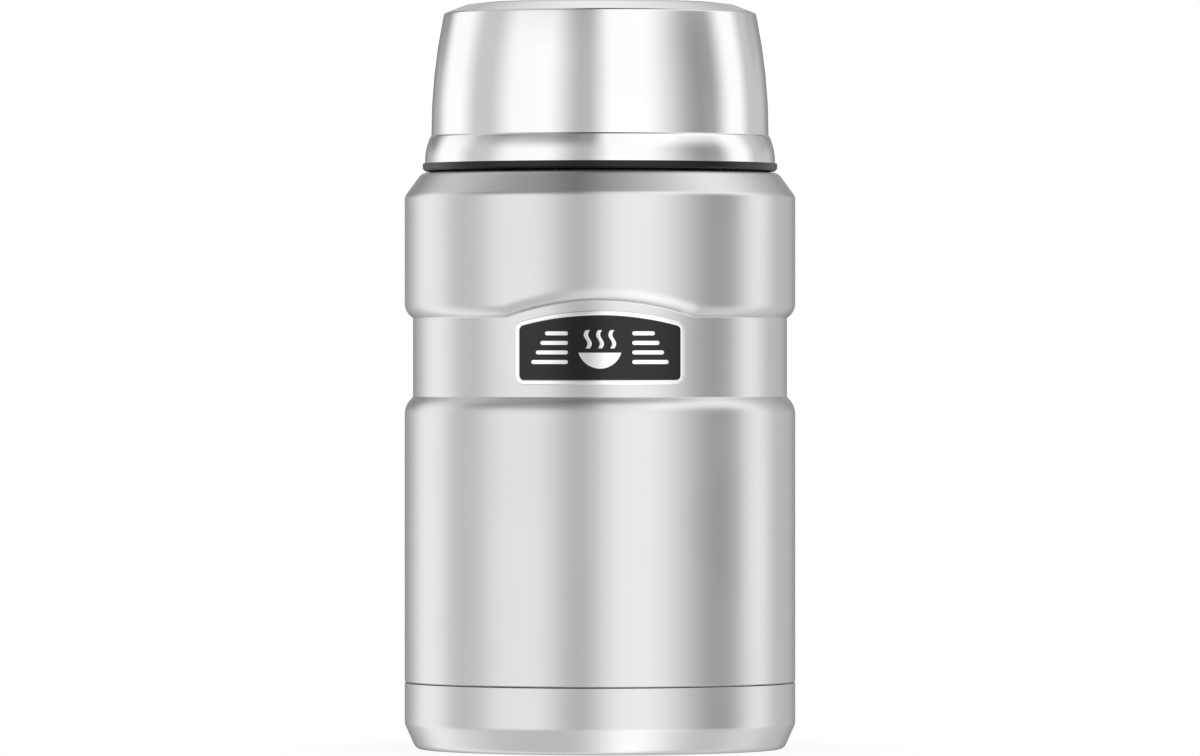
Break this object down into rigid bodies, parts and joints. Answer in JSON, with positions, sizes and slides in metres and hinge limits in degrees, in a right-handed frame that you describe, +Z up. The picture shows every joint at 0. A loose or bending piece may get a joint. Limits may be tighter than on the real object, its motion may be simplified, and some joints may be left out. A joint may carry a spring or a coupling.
{
  "type": "insulated food jar",
  "caption": "Vacuum-insulated steel food jar with a screw-in stopper and a polished screw-on lid that serves as a bowl.",
  "frame": {"origin": "centre of the foot, on the surface that the jar stands on", "axes": "+Z up along the jar's axis, -Y towards the badge"},
  "size_m": [0.104, 0.104, 0.1984],
  "materials": {
    "satin_steel": "satin",
    "polished_steel": "polished",
    "liner_steel": "satin",
    "bare_steel": "matte",
    "braze": "satin",
    "copper_foil": "gloss",
    "getter": "matte",
    "adhesive": "satin",
    "silicone": "satin",
    "black_plastic": "satin",
    "grey_plastic": "satin",
    "foam": "matte",
    "badge_bright": "polished",
    "badge_black": "gloss"
  },
  "bodies": {
    "jar": {"outer_shell": "satin_steel", "base_cup": "satin_steel", "outer_bottom": "bare_steel", "evacuation_seal": "braze", "base_adhesive_ring": "adhesive", "inner_vessel": "liner_steel", "inner_bottom": "liner_steel", "radiation_foil": "copper_foil", "getter_clip": "bare_steel", "getter_pellet": "getter", "badge_frame": "badge_bright", "badge_field": "badge_black", "badge_motif": "badge_bright"},
    "gasket": {"stopper_gasket": "silicone"},
    "stopper": {"stopper_cap": "black_plastic", "stopper_plug": "grey_plastic", "stopper_foam": "foam"},
    "bowl_washer": {"cup_seal": "silicone"},
    "bowl": {"cup_collar": "black_plastic", "cup_outer_shell": "polished_steel", "cup_inner_shell": "liner_steel"}
  },
  "joints": [
    {"name": "stopper_lift", "type": "slide", "parent": "jar", "child": "gasket", "axis": [0, 0, 1], "range_m": [0, 0.036]},
    {"name": "stopper_turn", "type": "hinge", "parent": "gasket", "child": "stopper", "pos_m": [0, 0, 0.158], "axis": [0, 0, 1], "range_deg": [0, 1080]},
    {"name": "bowl_lift", "type": "slide", "parent": "stopper", "child": "bowl_washer", "axis": [0, 0, 1], "range_m": [0, 0.048]},
    {"name": "bowl_turn", "type": "hinge", "parent": "bowl_washer", "child": "bowl", "pos_m": [0, 0, 0.158], "axis": [0, 0, 1], "range_deg": [0, 1440]}
  ],
  "couplings": [
    {"joint": "stopper_lift", "follows": "stopper_turn", "m_per_rad": 0.0019098},
    {"joint": "bowl_lift", "follows": "bowl_turn", "m_per_rad": 0.0019098}
  ]
}
